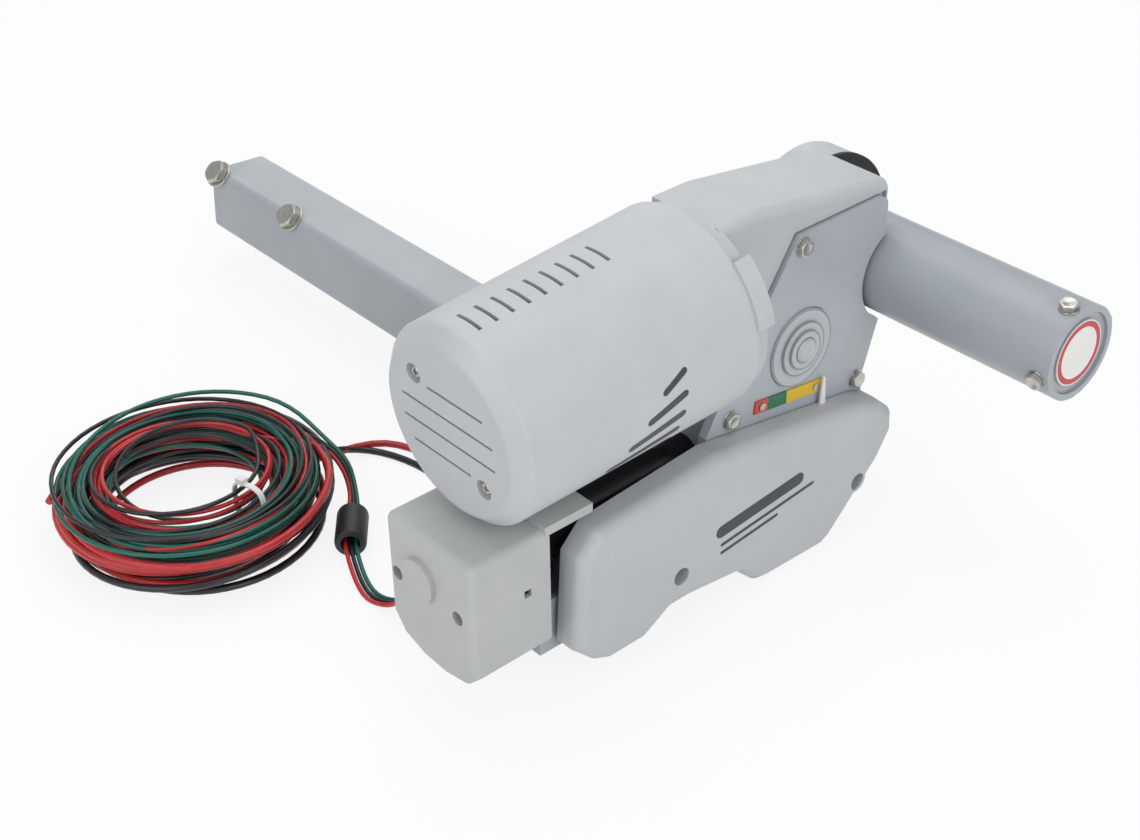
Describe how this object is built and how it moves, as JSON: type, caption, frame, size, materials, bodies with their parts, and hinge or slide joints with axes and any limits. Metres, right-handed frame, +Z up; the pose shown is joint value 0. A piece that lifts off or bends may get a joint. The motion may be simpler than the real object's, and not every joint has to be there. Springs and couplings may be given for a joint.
{
  "type": "caravan motor mover",
  "caption": "Electric drive unit that clamps under a caravan's chassis and presses a powered roller against its tyre.",
  "frame": {"origin": "under the middle of the unit's box, on the level its lower cover stands on", "axes": "+X along the roller away from the cross tube, +Y the way the carriage slides towards the tyre, +Z up"},
  "size_m": [0.701, 0.514, 0.2571],
  "materials": {
    "moulded_grey": "fine spark-eroded texture, light grey",
    "cast_grey": "powder-coated light grey casting",
    "painted_steel": "satin blue-grey paint on steel",
    "roller_paint": "satin grey paint on aluminium tube",
    "bright_steel": "zinc plated",
    "gear_steel": "cut steel, oiled",
    "bronze": "machined bronze",
    "motor_black": "black enamel",
    "gloss_black": "glossy black sleeve",
    "black_rubber": "matt rubber",
    "black_plastic": "matt black plastic",
    "red_pvc": "red cable sheath",
    "green_pvc": "green cable sheath",
    "white_plastic": "white nylon",
    "strip_colours": "printed red, green and yellow bands"
  },
  "bodies": {
    "base": {"cross_tube": "painted_steel", "clamp_bolts": "bright_steel", "base_channel": "painted_steel", "base_front_plate": "painted_steel", "bush_block_front": "painted_steel", "bush_block_rear": "painted_steel", "guide_bushes": "bronze", "actuator_tube": "gloss_black", "actuator_motor": "motor_black", "actuator_gearcase": "cast_grey", "box_front_cap": "moulded_grey", "box_rear_shell": "moulded_grey", "crank_plug": "black_plastic", "cover_screws": "bright_steel", "lower_cover": "moulded_grey", "pointer": "white_plastic", "cable_gland": "black_rubber", "wire_grommet": "black_rubber", "lead_red": "red_pvc", "lead_black": "black_plastic", "wire_red": "red_pvc", "wire_black": "black_plastic", "wire_green": "green_pvc", "cable_coil": "black_plastic", "wire_hank": "green_pvc", "ferrite_core": "black_plastic", "cable_tie": "white_plastic"},
    "carriage": {"side_plate": "painted_steel", "inner_plate": "painted_steel", "plate_bolts": "bright_steel", "bearing_cap": "bright_steel", "indicator_strip": "strip_colours", "strip_rivets": "bright_steel", "gear_housing_front": "cast_grey", "housing_gasket": "black_rubber", "gear_housing_rear": "cast_grey", "motor_cover": "moulded_grey", "cap_screws": "bright_steel", "drive_motor": "motor_black", "bearing_carrier": "painted_steel", "shaft_bearings": "bright_steel", "push_tube": "bright_steel", "spindle_nut": "bronze", "carriage_block_front": "painted_steel", "carriage_block_rear": "painted_steel", "guide_rods": "bright_steel"},
    "motor_shaft": {"worm_shaft": "bright_steel"},
    "layshaft": {"layshaft": "bright_steel", "worm_wheel": "bronze", "drive_pinion": "gear_steel"},
    "roller": {"roller_tube": "roller_paint", "roller_hub": "roller_paint", "roller_bolts": "bright_steel", "roller_shaft": "bright_steel", "final_gear": "gear_steel"},
    "spindle": {"actuator_spindle": "bright_steel", "spindle_gear": "gear_steel"},
    "crank": {"crank_pinion": "gear_steel"}
  },
  "joints": [
    {"name": "engage_slide", "type": "slide", "parent": "base", "child": "carriage", "axis": [0, 1, 0], "range_m": [0, 0.045]},
    {"name": "roller_spin", "type": "hinge", "parent": "carriage", "child": "roller", "pos_m": [0.2145, 0.15006, 0.16834], "axis": [1, 0, 0], "continuous": true},
    {"name": "layshaft_spin", "type": "hinge", "parent": "carriage", "child": "layshaft", "pos_m": [0.2145, 0.0625, 0.1473], "axis": [1, 0, 0], "continuous": true},
    {"name": "motor_shaft_spin", "type": "hinge", "parent": "carriage", "child": "motor_shaft", "pos_m": [0.1845, -0.0115, 0.1932], "axis": [0, 0.9985, 0.0551], "continuous": true},
    {"name": "spindle_turn", "type": "hinge", "parent": "base", "child": "spindle", "pos_m": [0.1885, 0.0625, 0.0893], "axis": [0, 1, 0], "range_deg": [0, 4060]},
    {"name": "crank_turn", "type": "hinge", "parent": "base", "child": "crank", "pos_m": [0.1765, 0.0625, 0.0893], "axis": [0, 1, 0], "range_deg": [-8110, 0]}
  ],
  "couplings": [
    {"joint": "layshaft_spin", "follows": "roller_spin", "ratio": -1.1818},
    {"joint": "motor_shaft_spin", "follows": "roller_spin", "ratio": -42.545},
    {"joint": "spindle_turn", "follows": "engage_slide", "rad_per_m": 1570.8},
    {"joint": "crank_turn", "follows": "engage_slide", "rad_per_m": -3141.6}
  ]
}
